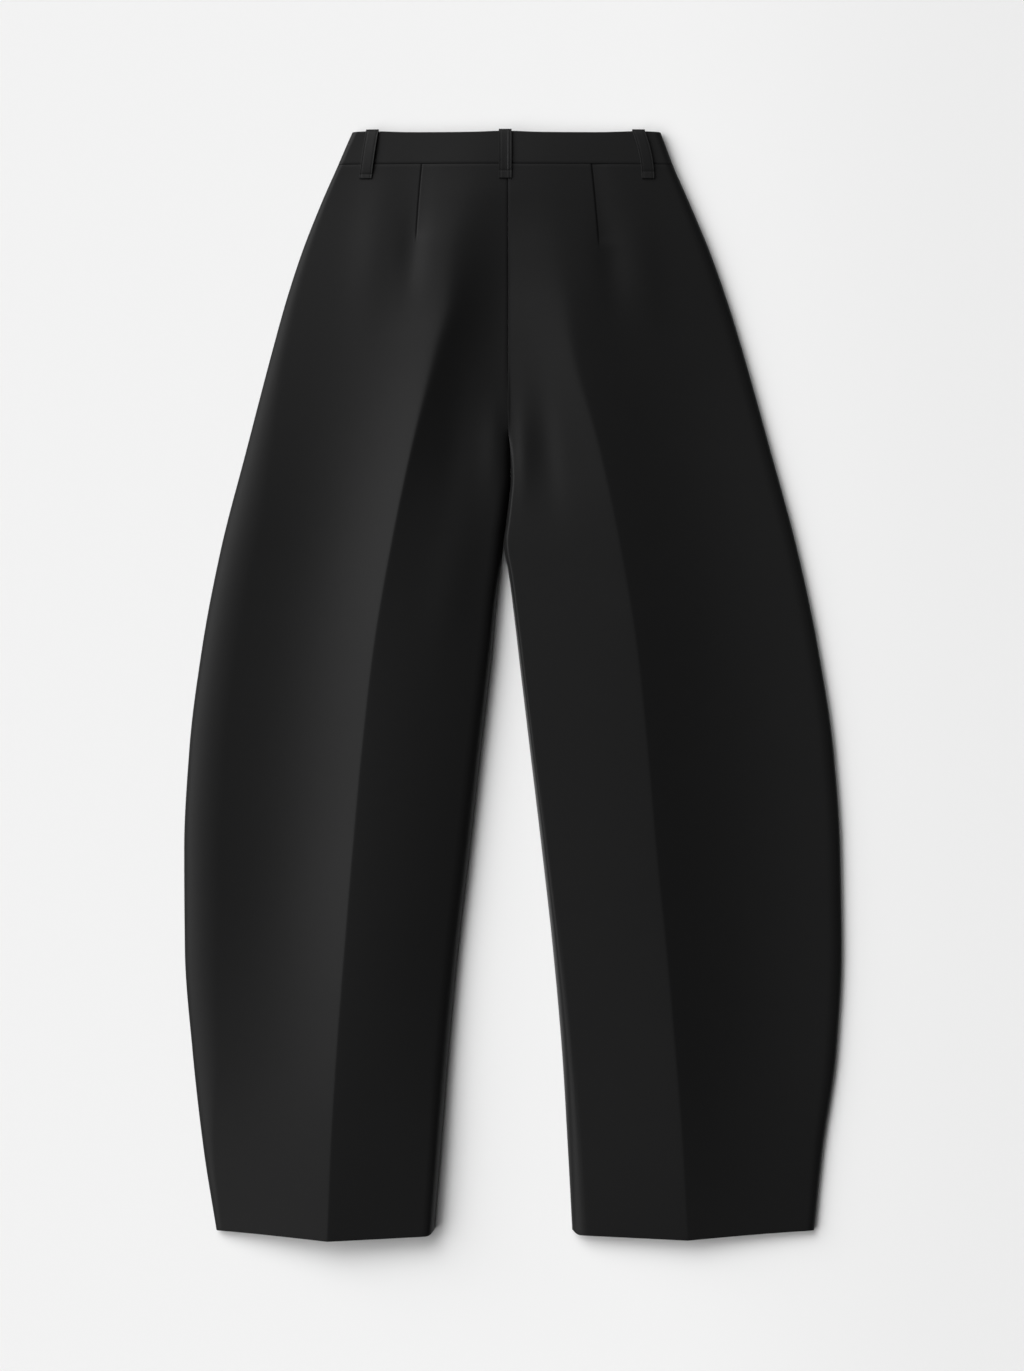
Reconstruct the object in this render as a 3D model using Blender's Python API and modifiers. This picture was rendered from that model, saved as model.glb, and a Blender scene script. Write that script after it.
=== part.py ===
"""Barrel leg trousers, laid flat with the back facing up.

The frame is in metres, +Z up and +Y towards the waist, and the garment lies on z = 0 with its origin under the
middle of its bounding box. Sizes below are in millimetres: down is the distance below the waistband's top edge,
and x runs to the right from a line near the garment's middle.

Every panel is one sheet of cloth through sections across the garment. A section of the back rises round the outer
seam to a brim, climbs the flank to the pressed crease, crosses the inner side to a shoulder, and rolls down to the
inner seam or to the centre back seam. The front lies flat on the surface and turns up at its edges.
"""

import math
from bisect import bisect_right
from collections import namedtuple
from functools import lru_cache

import bmesh
import bpy

MM = 0.001

# Lengths down the garment
BAND_HEIGHT = 32.3
HEM = 1078.0
HEM_TIP = 8.6
HEM_INNER = 3.9
HEM_CORNER = 5.0
HEM_CORNER_WIDTH = 8.0
HEM_FADE = 130.0
FRONT_DIP = 10.0
FRONT_DIP_FADE = 150.0

# Cloth and seams
PANEL_WALL = 1.6
BAND_WALL = 2.2
LOOP_WALL = 1.4
SEAM_GAP = 0.3
SIDE_SEAM_HEIGHT = 5.0
FRONT_ROUND = 10.0
EDGE_ANGLES = (math.radians(2.0), math.radians(7.5))
DEEP_SEAM = 8.0

# Belt loops
LOOP_WIDTH = 12.6
LOOP_LENGTH = 46.6
LOOP_ARCH = 2.2
LOOP_TUCK = 2.2
LOOP_STANDOFF = 0.45

# Rows and columns of the sheets
SEAT_ROWS = 8
CROTCH_ROWS = 8
LEG_ROWS = 14
CROTCH_START = 250.0
CROTCH_END = 420.0
BAND_ROWS = 3
LOOP_ROWS = 10
LOOP_COLUMNS = 2
ROUND_COLUMNS = 4
FLANK_COLUMNS = 8
INNER_COLUMNS = 5
ROLL_COLUMNS = 4
FLOOR_COLUMNS = 3

CLOTH_COLOUR = (0.016, 0.016, 0.017, 1.0)
BAND_COLOUR = (0.018, 0.018, 0.019, 1.0)
LOOP_COLOUR = (0.020, 0.020, 0.021, 1.0)
CLOTH_ROUGHNESS = 0.8

# One row for each section of a leg: the outline at its side seam, the crease's place and height, the height of the
# inner side's shoulder, and how hollow the inner side is (below 0 it is full)
Section = namedtuple("Section", "down outer crease ridge shoulder hollow")
LEFT_SECTIONS = (
    Section(0.0, -156.8, -28.0, 16.0, 15.0, 0.0),
    Section(32.0, -170.5, -30.0, 19.0, 17.3, 0.1),
    Section(68.0, -186.4, -41.0, 22.5, 18.8, 0.3),
    Section(117.0, -205.8, -54.0, 27.0, 18.6, 0.6),
    Section(165.0, -221.5, -58.5, 29.5, 17.2, 0.8),
    Section(215.0, -235.4, -72.5, 30.5, 16.8, 0.9),
    Section(313.0, -261.0, -98.0, 31.0, 18.5, 0.8),
    Section(411.0, -286.2, -118.6, 31.5, 20.5, 0.0),
    Section(509.0, -304.8, -135.2, 31.5, 20.5, -0.7),
    Section(607.0, -317.0, -146.5, 31.0, 20.0, -0.9),
    Section(705.0, -322.0, -155.5, 31.0, 19.5, -0.9),
    Section(803.0, -321.3, -163.5, 31.0, 19.5, -0.8),
    Section(901.0, -313.9, -171.0, 31.0, 21.0, -0.6),
    Section(999.0, -302.8, -177.0, 29.5, 22.5, -0.3),
    Section(1078.0, -290.2, -180.3, 26.5, 21.5, -0.1),
)
RIGHT_SECTIONS = (
    Section(0.0, 146.0, 14.0, 15.5, 15.0, 0.0),
    Section(32.0, 157.8, 18.0, 18.0, 17.3, 0.0),
    Section(68.0, 173.5, 34.0, 20.0, 18.8, 0.0),
    Section(117.0, 194.0, 43.5, 22.5, 18.6, -0.1),
    Section(165.0, 211.0, 52.5, 24.5, 17.2, 0.1),
    Section(215.0, 226.4, 59.5, 25.5, 17.2, 0.3),
    Section(313.0, 253.8, 85.8, 27.0, 20.0, 0.4),
    Section(411.0, 280.3, 106.5, 29.0, 24.5, 0.0),
    Section(509.0, 300.9, 122.5, 30.5, 26.5, -0.2),
    Section(607.0, 315.6, 132.6, 31.0, 27.5, -0.3),
    Section(705.0, 322.2, 141.1, 31.0, 27.0, -0.3),
    Section(803.0, 323.6, 151.0, 30.0, 25.0, -0.2),
    Section(901.0, 318.5, 159.7, 28.0, 21.5, 0.0),
    Section(999.0, 304.8, 167.5, 24.0, 17.0, 0.0),
    Section(1078.0, 296.6, 172.2, 18.5, 13.5, 0.0),
)

# One row for each section of a leg: the brim's height, how far in the outer and the inner edge round off, the
# flank's first slope as a share of its last, the share of the flank over which the slope grows, and how blunt the
# crease is
Round = namedtuple("Round", "down brim outer_round inner_round start bend crease_width")
LEFT_ROUNDS = (
    Round(0.0, 9.0, 5.5, 3.0, 1.0, 1.0, 40.0),
    Round(32.0, 9.0, 5.0, 3.0, 0.9, 1.0, 34.0),
    Round(117.0, 9.5, 8.0, 3.0, 0.5, 1.0, 16.0),
    Round(215.0, 11.0, 14.0, 4.0, 0.2, 1.1, 5.0),
    Round(313.0, 13.0, 26.0, 8.0, 0.0, 1.1, 1.4),
    Round(411.0, 14.5, 36.0, 10.0, -0.1, 1.1, 1.0),
    Round(705.0, 14.5, 36.0, 12.0, -0.1, 1.1, 0.8),
    Round(901.0, 14.0, 26.0, 12.0, 0.3, 1.15, 0.8),
    Round(999.0, 11.5, 11.0, 10.0, 0.8, 1.1, 0.8),
    Round(1078.0, 9.5, 6.0, 9.0, 1.0, 1.1, 0.8),
)
RIGHT_ROUNDS = (
    Round(0.0, 10.0, 7.5, 3.0, 1.0, 1.0, 40.0),
    Round(32.0, 10.5, 8.5, 3.0, 0.9, 1.0, 34.0),
    Round(117.0, 11.5, 12.0, 3.0, 0.6, 1.0, 16.0),
    Round(215.0, 11.0, 13.0, 3.0, 0.3, 0.9, 5.0),
    Round(313.0, 10.5, 13.0, 3.2, 0.0, 0.8, 1.6),
    Round(411.0, 10.5, 13.0, 3.2, 0.0, 0.9, 1.2),
    Round(705.0, 10.5, 13.0, 4.5, 0.0, 1.0, 1.0),
    Round(901.0, 10.5, 12.0, 8.0, 0.05, 1.0, 1.0),
    Round(999.0, 10.5, 10.0, 12.0, 0.3, 1.0, 1.0),
    Round(1078.0, 10.0, 8.0, 15.0, 0.6, 1.0, 1.0),
)

# One row for each section between the legs: the line that halves the gap, half the gap, and the heights of the
# back's and the front's inner edges, which meet at the crotch
Centre = namedtuple("Centre", "down midline half_gap back_seam front_seam")
CENTRES = (
    Centre(0.0, -3.9, 0.15, 14.7, 0.0),
    Centre(32.0, -3.9, 0.15, 17.0, 0.0),
    Centre(68.0, -3.9, 0.15, 18.4, 0.0),
    Centre(117.0, -3.9, 0.15, 18.2, 0.0),
    Centre(165.0, -3.9, 0.15, 16.9, 0.0),
    Centre(215.0, -3.9, 0.15, 16.5, 0.0),
    Centre(290.0, -3.9, 0.15, 17.9, 0.0),
    Centre(315.0, -1.8, 0.15, 9.5, 0.0),
    Centre(340.0, -1.2, 0.15, 7.0, 1.0),
    Centre(362.0, -3.2, 0.15, 5.15, 4.85),
    Centre(385.0, -6.0, 0.15, 5.15, 4.85),
    Centre(400.0, -8.0, 0.15, 5.15, 4.85),
    Centre(412.0, -8.2, 1.0, 5.15, 4.85),
    Centre(435.0, -7.4, 4.3, 5.15, 4.85),
    Centre(460.0, -7.3, 7.5, 5.15, 4.85),
    Centre(509.0, -6.6, 12.6, 5.15, 4.85),
    Centre(607.0, -6.4, 24.0, 5.15, 4.85),
    Centre(705.0, -6.0, 35.3, 5.15, 4.85),
    Centre(803.0, -6.3, 46.5, 5.15, 4.85),
    Centre(901.0, -6.5, 55.4, 5.15, 4.85),
    Centre(999.0, -7.4, 62.2, 5.15, 4.85),
    Centre(1078.0, -8.5, 67.5, 5.15, 4.85),
)

# One row for each belt loop: the middle of its width at its top, half way and at its lower end
Loop = namedtuple("Loop", "name top middle bottom")
LOOPS = (
    Loop("belt_loop_left", -136.8, -140.6, -143.6),
    Loop("belt_loop_centre", -6.6, -6.6, -6.6),
    Loop("belt_loop_right", 124.0, 130.8, 133.4),
)

# inward is +1 on the leg whose x grows from its side seam to its inner seam
Leg = namedtuple("Leg", "name sections rounds inward")
LEFT = Leg("left", LEFT_SECTIONS, LEFT_ROUNDS, 1)
RIGHT = Leg("right", RIGHT_SECTIONS, RIGHT_ROUNDS, -1)

Shape = namedtuple("Shape", "outer width crease ridge shoulder hollow brim outer_round inner_round start bend "
                            "crease_width back_seam front_seam")

# The origin halves the garment's length, from the belt loops' tops to the hem's tip, and its widest place
LOOP_RISE = LOOP_STANDOFF + LOOP_WALL
TOP = (HEM + HEM_TIP - LOOP_RISE) / 2
MIDDLE = (max(row.outer for row in RIGHT_SECTIONS) + min(row.outer for row in LEFT_SECTIONS)) / 2


def smoothstep(value):
    """Rises from 0 to 1 between 0 and 1, level at both ends."""
    t = min(max(value, 0.0), 1.0)
    return t * t * (3.0 - 2.0 * t)


def tangents(at, values):
    """Slope at each row of a column, level where the column turns back."""
    chords = [(b - a) / (d - c) for a, b, c, d in zip(values, values[1:], at, at[1:])]
    inner = [2.0 * a * b / (a + b) if a * b > 0.0 else 0.0 for a, b in zip(chords, chords[1:])]
    return [chords[0], *inner, chords[-1]]


@lru_cache(maxsize=None)
def row_at(rows, down):
    """The row of a table at any distance down, on a smooth curve through the table's own rows."""
    at = [row.down for row in rows]
    i = min(max(bisect_right(at, down) - 1, 0), len(rows) - 2)
    span = at[i + 1] - at[i]
    t = min(max((down - at[i]) / span, 0.0), 1.0)
    values = []
    for column in zip(*rows):
        slopes = tangents(at, column)
        start = (1.0 + 2.0 * t) * (1.0 - t) ** 2 * column[i] + t * (1.0 - t) ** 2 * span * slopes[i]
        end = t * t * (3.0 - 2.0 * t) * column[i + 1] - t * t * (1.0 - t) * span * slopes[i + 1]
        values.append(start + end)
    return type(rows[0])(*values)


@lru_cache(maxsize=None)
def shape_at(leg, down):
    """The section of a leg at a distance down, with its widths measured inward from the side seam."""
    section = row_at(leg.sections, down)
    edges = row_at(leg.rounds, down)
    centre = row_at(CENTRES, down)
    inner = centre.midline - leg.inward * centre.half_gap
    return Shape(
        outer=section.outer,
        width=(inner - section.outer) * leg.inward,
        crease=(section.crease - section.outer) * leg.inward,
        ridge=section.ridge,
        shoulder=section.shoulder,
        hollow=section.hollow,
        brim=edges.brim,
        outer_round=edges.outer_round,
        inner_round=edges.inner_round,
        start=edges.start,
        bend=edges.bend,
        crease_width=edges.crease_width,
        back_seam=centre.back_seam,
        front_seam=centre.front_seam,
    )


def quarter(r):
    """Drop of a quarter round, from 0 where it starts to 1 where it stands upright."""
    return 1.0 - math.sqrt(max(0.0, 1.0 - r * r))


def roll(r, depth):
    """Drop of an edge that rolls down: a shallow groove bends a little, and a deep one stands upright."""
    upright = smoothstep(depth / DEEP_SEAM)
    return (1.0 - upright) * r * r + upright * quarter(r)


def ramp_sum(q, bend):
    """Height of a slope that grows smoothly from 0 to 1 over the share bend and then stays."""
    t = min(max(q / bend, 0.0), 1.0)
    return bend * (t ** 3 - t ** 4 / 2.0) + max(q - bend, 0.0)


def sharp_height(shape, across):
    """Height of the back's outer surface at a distance across from the side seam, with a sharp crease."""
    flank = shape.crease - shape.outer_round
    inner = shape.width - shape.inner_round - shape.crease
    climb = (shape.ridge - shape.brim) * steepness(shape)
    fall = shape.ridge - shape.shoulder
    if across < shape.outer_round:
        slope = climb * shape.start / flank
        foot = shape.brim - slope * shape.outer_round
        drop = foot - SIDE_SEAM_HEIGHT - SEAM_GAP / 2
        return foot + slope * across - drop * quarter(1.0 - across / shape.outer_round)
    if across < shape.crease:
        q = (across - shape.outer_round) / flank
        return shape.brim + climb * (shape.start * q + (1.0 - shape.start) * ramp_sum(q, shape.bend))
    r = (across - shape.crease) / inner
    if r < 1.0:
        return shape.ridge - fall * (r + shape.hollow * r * (1.0 - r))
    slope = fall * (1.0 - shape.hollow) / inner
    depth = shape.shoulder - slope * shape.inner_round - shape.back_seam
    past = across - shape.crease - inner
    return shape.shoulder - slope * past - depth * roll(min(past / shape.inner_round, 1.0), depth)


def steepness(shape):
    """The flank's last slope as a multiple of its mean slope."""
    return 1.0 / (shape.start + (1.0 - shape.start) * ramp_sum(1.0, shape.bend))


def back_height(shape, across):
    """Height of the back's outer surface at a distance across from the side seam, its crease blunted."""
    flank = shape.crease - shape.outer_round
    inner = shape.width - shape.inner_round - shape.crease
    before = (shape.ridge - shape.brim) * steepness(shape) / flank
    after = (shape.ridge - shape.shoulder) * (1.0 + shape.hollow) / inner
    away = across - shape.crease
    soft = shape.crease_width
    blunt = math.hypot(away, soft) - abs(away)
    reach = 3.0 * soft + 6.0
    return sharp_height(shape, across) - 0.5 * (before + after) * blunt * math.exp(-((away / reach) ** 2))


def front_height(shape, across):
    """Height of the front's outer surface, which is flat on the floor between its turned-up edges."""
    past = across - (shape.width - FRONT_ROUND)
    if across < FRONT_ROUND:
        return (SIDE_SEAM_HEIGHT - SEAM_GAP / 2) * quarter(1.0 - across / FRONT_ROUND)
    if past > 0.0:
        return shape.front_seam * roll(min(past / FRONT_ROUND, 1.0), 2.0 * shape.front_seam)
    return 0.0


def spread(start, end, count):
    """Evenly spaced values after start, up to and with end."""
    return [start + (end - start) * i / count for i in range(1, count + 1)]


def rising_angles(count):
    """Angles of a quarter turn after its start, the first two small so that the cloth's edge stands upright."""
    return [*EDGE_ANGLES, *spread(EDGE_ANGLES[-1], math.pi / 2, count)]


def falling_angles(count):
    """The same angles in the other order, down to and with 0."""
    return [*rising_angles(count)[-2::-1], 0.0]


def back_columns(shape):
    """Distances across at which the back's section has a point, from the side seam inward."""
    outer = [shape.outer_round * (1.0 - math.cos(a)) for a in rising_angles(ROUND_COLUMNS)]
    shoulder = shape.width - shape.inner_round
    inner = [shoulder + shape.inner_round * math.cos(a) for a in falling_angles(ROLL_COLUMNS)]
    flank = spread(shape.outer_round, shape.crease, FLANK_COLUMNS)
    return [0.0, *outer, *flank, *spread(shape.crease, shoulder, INNER_COLUMNS), *inner]


def front_columns(shape):
    """Distances across at which the front's section has a point, from the side seam inward."""
    edge = shape.width - FRONT_ROUND
    outer = [FRONT_ROUND * (1.0 - math.cos(a)) for a in rising_angles(ROUND_COLUMNS)]
    inner = [edge + FRONT_ROUND * math.cos(a) for a in falling_angles(ROUND_COLUMNS)]
    return [0.0, *outer, *spread(FRONT_ROUND, edge, FLOOR_COLUMNS), *inner]


def hem_drop(shape, across):
    """How far the back's hem hangs below the side seam's end: most at the crease, with the inner corner rounded."""
    if across < shape.crease:
        return HEM_TIP * (across / shape.crease) ** 1.2
    share = (across - shape.crease) / (shape.width - shape.crease)
    corner = max(0.0, 1.0 - (shape.width - across) / HEM_CORNER_WIDTH)
    return HEM_TIP + (HEM_INNER - HEM_TIP) * share - HEM_CORNER * corner ** 2


def front_dip(shape, down, across):
    """How much lower the front's upper edge lies than the back's, most at the centre front."""
    fade = 1.0 - smoothstep((down - BAND_HEIGHT) / FRONT_DIP_FADE)
    return FRONT_DIP * fade * smoothstep(across / shape.width)


def place(leg, shape, down, across, height):
    """A point of a leg in metres."""
    return ((shape.outer + leg.inward * across - MIDDLE) * MM, (TOP - down) * MM, height * MM)


def back_point(leg, down, across):
    """A point of the back's outer surface, with the hem's lower edge drawn out towards the crease."""
    shape = shape_at(leg, down)
    drop = hem_drop(shape, across) * smoothstep((down - HEM + HEM_FADE) / HEM_FADE)
    return place(leg, shape, down + drop, across, back_height(shape, across))


def front_point(leg, down, across):
    """A point of the front's outer surface."""
    shape = shape_at(leg, down)
    return place(leg, shape, down + front_dip(shape, down, across), across, front_height(shape, across))


def panel_rows():
    """Distances down at which the panels have a section, closer together at the crotch."""
    start = BAND_HEIGHT + SEAM_GAP / 2
    seat = spread(start, CROTCH_START, SEAT_ROWS)
    crotch = spread(CROTCH_START, CROTCH_END, CROTCH_ROWS)
    return [start, *seat, *crotch, *spread(CROTCH_END, HEM, LEG_ROWS)]


def band_rows():
    """Distances down at which the waistband has a section."""
    return [0.0, *spread(0.0, BAND_HEIGHT - SEAM_GAP / 2, BAND_ROWS)]


def panel_points(leg, columns, point):
    """Rows of points of one panel, from the hem up, each from left to right."""
    rows = [[point(leg, down, across) for across in columns(shape_at(leg, down))] for down in panel_rows()]
    return [row[::leg.inward] for row in reversed(rows)]


def band_points(leg):
    """Rows of points of one half of the waistband, each round from one centre to the other by the side."""
    rows = []
    for down in band_rows():
        shape = shape_at(leg, down)
        back = [back_point(leg, down, across) for across in back_columns(shape)[3:]]
        front = [front_point(leg, down, across) for across in front_columns(shape)[3:]]
        side = place(leg, shape, down, 0.0, SIDE_SEAM_HEIGHT)
        rows.append([*reversed(back), side, *front][::leg.inward])
    return rows


def loop_middle(loop, share):
    """Middle of a belt loop's width at a share of its length, on a bow through its three places."""
    ends = (1.0 - share) * loop.top + share * loop.bottom
    bow = loop.middle - (loop.top + loop.bottom) / 2
    return ends + 4.0 * bow * share * (1.0 - share)


def surface_height(x, down):
    """Height of the back's outer surface at a place on the garment."""
    centre = row_at(CENTRES, down)
    leg = LEFT if x < centre.midline else RIGHT
    shape = shape_at(leg, down)
    across = (x - shape.outer) * leg.inward
    return back_height(shape, min(across, shape.width - shape.inner_round))


def loop_points(loop):
    """Rows of points of a belt loop's lower face, from its lower end up and over the waistband's top edge."""
    shares = [i / LOOP_ROWS for i in range(LOOP_ROWS, -1, -1)]
    steps = [(share, share * LOOP_LENGTH, SEAM_GAP + LOOP_ARCH * math.sin(math.pi * share)) for share in shares]
    steps[-1] = (0.0, -LOOP_STANDOFF, SEAM_GAP)
    steps.append((0.0, -LOOP_STANDOFF, -LOOP_TUCK))
    rows = []
    for share, down, lift in steps:
        middle = loop_middle(loop, share)
        xs = [middle + LOOP_WIDTH * (j / LOOP_COLUMNS - 0.5) for j in range(LOOP_COLUMNS + 1)]
        heights = [surface_height(x, max(down, 0.0)) + lift for x in xs]
        rows.append([((x - MIDDLE) * MM, (TOP - down) * MM, z * MM) for x, z in zip(xs, heights)])
    return rows


def sheet_mesh(name, rows, flip):
    """A sheet through rows of points, made from a grid whose points are moved to them."""
    bm = bmesh.new()
    across, along = len(rows[0]) - 1, len(rows) - 1
    bmesh.ops.create_grid(bm, x_segments=across, y_segments=along, size=0.5)
    for vert in bm.verts:
        i = round((vert.co.y + 0.5) * along)
        j = round((vert.co.x + 0.5) * across)
        vert.co = rows[i][j]
    if flip:
        bmesh.ops.reverse_faces(bm, faces=bm.faces[:])
    mesh = bpy.data.meshes.new(name)
    bm.to_mesh(mesh)
    bm.free()
    return mesh


def make_material(name, colour):
    """A matte cloth material for one piece."""
    material = bpy.data.materials.new(name)
    material.use_nodes = True
    shader = material.node_tree.nodes["Principled BSDF"]
    shader.inputs["Base Color"].default_value = colour
    shader.inputs["Roughness"].default_value = CLOTH_ROUGHNESS
    shader.inputs["Metallic"].default_value = 0.0
    material.diffuse_color = colour
    return material


def add_piece(collection, name, rows, wall, colour, flip=False, outward=False):
    """One piece of cloth: a sheet with a wall's thickness on its inner face, or on its outer face if outward."""
    piece = bpy.data.objects.new(name, sheet_mesh(name, rows, flip))
    piece.data.materials.append(make_material(name, colour))
    collection.objects.link(piece)
    thickness = piece.modifiers.new("wall", "SOLIDIFY")
    thickness.thickness = wall * MM
    thickness.offset = 1.0 if outward else -1.0
    thickness.use_even_offset = True
    piece.data.shade_smooth()
    return piece


def build():
    """Removes what the scene holds and makes the trousers' pieces."""
    for old in list(bpy.data.objects):
        bpy.data.objects.remove(old)
    collection = bpy.data.collections.new("barrel_leg_trousers")
    bpy.context.scene.collection.children.link(collection)
    for leg in (LEFT, RIGHT):
        back = panel_points(leg, back_columns, back_point)
        front = panel_points(leg, front_columns, front_point)
        add_piece(collection, f"back_{leg.name}", back, PANEL_WALL, CLOTH_COLOUR)
        add_piece(collection, f"front_{leg.name}", front, PANEL_WALL, CLOTH_COLOUR, flip=True)
        add_piece(collection, f"waistband_{leg.name}", band_points(leg), BAND_WALL, BAND_COLOUR)
    for loop in LOOPS:
        add_piece(collection, loop.name, loop_points(loop), LOOP_WALL, LOOP_COLOUR, outward=True)


build()
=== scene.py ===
"""Looks of the barrel leg trousers: black suiting, laid flat with the back up, on a pale floor in soft light.

Every cloth piece is a thin shell on the form of its solid in the frame. The sections that give the form stand in short
tables, in millimetres: down is the distance below the waistband's top edge, x runs to the right, and across is the
distance from a leg's side seam towards its inner seam.
"""

import logging
import math
from dataclasses import dataclass, field, fields
from enum import Enum
from typing import Callable, Sequence

import bmesh
import bpy
import numpy as np
from mathutils import Matrix, Vector

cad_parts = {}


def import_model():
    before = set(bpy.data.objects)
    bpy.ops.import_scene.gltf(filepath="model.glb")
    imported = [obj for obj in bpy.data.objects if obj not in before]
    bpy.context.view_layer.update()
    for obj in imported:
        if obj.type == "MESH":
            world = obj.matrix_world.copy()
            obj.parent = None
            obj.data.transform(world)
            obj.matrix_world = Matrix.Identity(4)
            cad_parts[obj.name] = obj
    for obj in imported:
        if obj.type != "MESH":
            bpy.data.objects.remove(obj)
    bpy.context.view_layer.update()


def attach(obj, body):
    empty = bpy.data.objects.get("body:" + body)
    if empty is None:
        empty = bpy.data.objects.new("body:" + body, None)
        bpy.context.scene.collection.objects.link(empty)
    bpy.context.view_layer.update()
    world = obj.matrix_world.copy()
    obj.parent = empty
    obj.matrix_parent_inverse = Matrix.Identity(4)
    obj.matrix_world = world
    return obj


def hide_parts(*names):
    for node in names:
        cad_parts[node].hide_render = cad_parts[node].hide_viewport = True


LOG = logging.getLogger("trousers")

MM = 0.001
ROOT = "root"

# Lengths down the garment, in millimetres
BAND_HEIGHT = 32.3
HEM = 1078.0
HEM_TIP = 8.6
HEM_INNER = 3.9
HEM_CORNER = 5.0
HEM_CORNER_WIDTH = 8.0
HEM_FADE = 130.0
FRONT_DIP = 10.0
FRONT_DIP_FADE = 150.0

# Seams and edges, in millimetres
FRONT_ROUND = 10.0
SEAM_GAP = 0.3
SIDE_SEAM_HEIGHT = 5.0
DEEP_SEAM = 8.0
CALM_INNER = 12.0
CALM_OUTER = 20.0


class Side(Enum):
    """The leg's place in the picture, with the way that x grows from its side seam inward."""

    LEFT = 1
    RIGHT = -1

    @property
    def label(self) -> str:
        """The word that the frame's node names use."""
        return self.name.lower()


class Slot(Enum):
    """The record's material slots."""

    CLOTH = "cloth"
    WAISTBAND = "waistband"
    BELT_LOOP = "belt_loop"


@dataclass(frozen=True)
class Section:
    """A section of one leg: its outline, its crease, its inner shoulder and how hollow its inner side is."""

    down: float
    outer: float
    crease: float
    ridge: float
    shoulder: float
    hollow: float


@dataclass(frozen=True)
class EdgeRound:
    """How a leg's edges round off, how its flank climbs from the brim to the crease, and how blunt the crease is."""

    down: float
    brim: float
    outer_round: float
    inner_round: float
    start: float
    bend: float
    crease_width: float


@dataclass(frozen=True)
class CentreLine:
    """The line between the legs: its place, half the gap, and the heights of the edges that meet there.

    The right back's edge stands over the left back's, a little along the seam and by more at the crotch.
    """

    down: float
    midline: float
    half_gap: float
    left_seam: float
    right_seam: float
    front_seam: float


LEFT_SECTIONS = (
    Section(0.0, -156.8, -28.0, 16.0, 15.0, 0.0),
    Section(32.0, -170.5, -30.0, 19.0, 17.3, 0.1),
    Section(68.0, -186.4, -41.0, 22.5, 18.8, 0.3),
    Section(117.0, -205.8, -54.0, 27.0, 18.6, 0.6),
    Section(165.0, -221.5, -58.5, 29.5, 17.2, 0.8),
    Section(215.0, -235.4, -72.5, 30.5, 16.8, 0.9),
    Section(313.0, -261.0, -98.0, 31.0, 18.5, 0.8),
    Section(411.0, -286.2, -118.6, 31.0, 20.5, 0.0),
    Section(509.0, -304.8, -135.2, 30.7, 20.5, -0.7),
    Section(607.0, -317.0, -146.5, 30.1, 20.0, -0.9),
    Section(705.0, -322.0, -155.5, 30.1, 19.5, -0.9),
    Section(803.0, -321.3, -163.5, 30.2, 19.5, -0.8),
    Section(901.0, -313.9, -171.0, 30.5, 21.0, -0.6),
    Section(999.0, -302.8, -177.0, 29.5, 22.5, -0.3),
    Section(1078.0, -290.2, -180.3, 26.5, 21.5, -0.1),
)
RIGHT_SECTIONS = (
    Section(0.0, 146.0, 14.0, 15.5, 15.0, 0.0),
    Section(32.0, 157.8, 18.0, 18.0, 17.3, 0.0),
    Section(68.0, 173.5, 34.0, 20.0, 18.8, 0.0),
    Section(117.0, 194.0, 43.5, 22.5, 18.6, -0.1),
    Section(165.0, 211.0, 52.5, 24.5, 17.2, 0.1),
    Section(215.0, 226.4, 59.5, 25.5, 17.2, 0.3),
    Section(313.0, 253.8, 85.8, 27.0, 20.0, 0.4),
    Section(411.0, 280.3, 106.5, 29.0, 24.5, 0.0),
    Section(509.0, 300.9, 122.5, 31.0, 26.5, -0.2),
    Section(607.0, 315.6, 132.6, 31.5, 27.5, -0.3),
    Section(705.0, 322.2, 141.1, 31.7, 27.0, -0.3),
    Section(803.0, 323.6, 151.0, 30.8, 25.0, -0.2),
    Section(901.0, 318.5, 159.7, 28.5, 21.5, 0.0),
    Section(999.0, 304.8, 167.5, 24.0, 17.0, 0.0),
    Section(1078.0, 296.6, 172.2, 18.5, 13.5, 0.0),
)
LEFT_ROUNDS = (
    EdgeRound(0.0, 9.0, 5.5, 3.0, 1.0, 1.0, 40.0),
    EdgeRound(32.0, 9.0, 5.0, 3.0, 0.9, 1.0, 34.0),
    EdgeRound(117.0, 9.5, 8.0, 3.0, 0.5, 1.0, 16.0),
    EdgeRound(215.0, 11.0, 14.0, 4.0, 0.2, 1.1, 5.0),
    EdgeRound(313.0, 13.0, 26.0, 8.0, 0.0, 1.1, 1.4),
    EdgeRound(411.0, 14.5, 36.0, 10.0, -0.1, 1.1, 1.0),
    EdgeRound(705.0, 14.5, 36.0, 12.0, -0.1, 1.1, 0.8),
    EdgeRound(901.0, 14.0, 26.0, 12.0, 0.3, 1.15, 0.8),
    EdgeRound(999.0, 11.5, 11.0, 10.0, 0.8, 1.1, 0.8),
    EdgeRound(1078.0, 9.5, 6.0, 9.0, 1.0, 1.1, 0.8),
)
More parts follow.
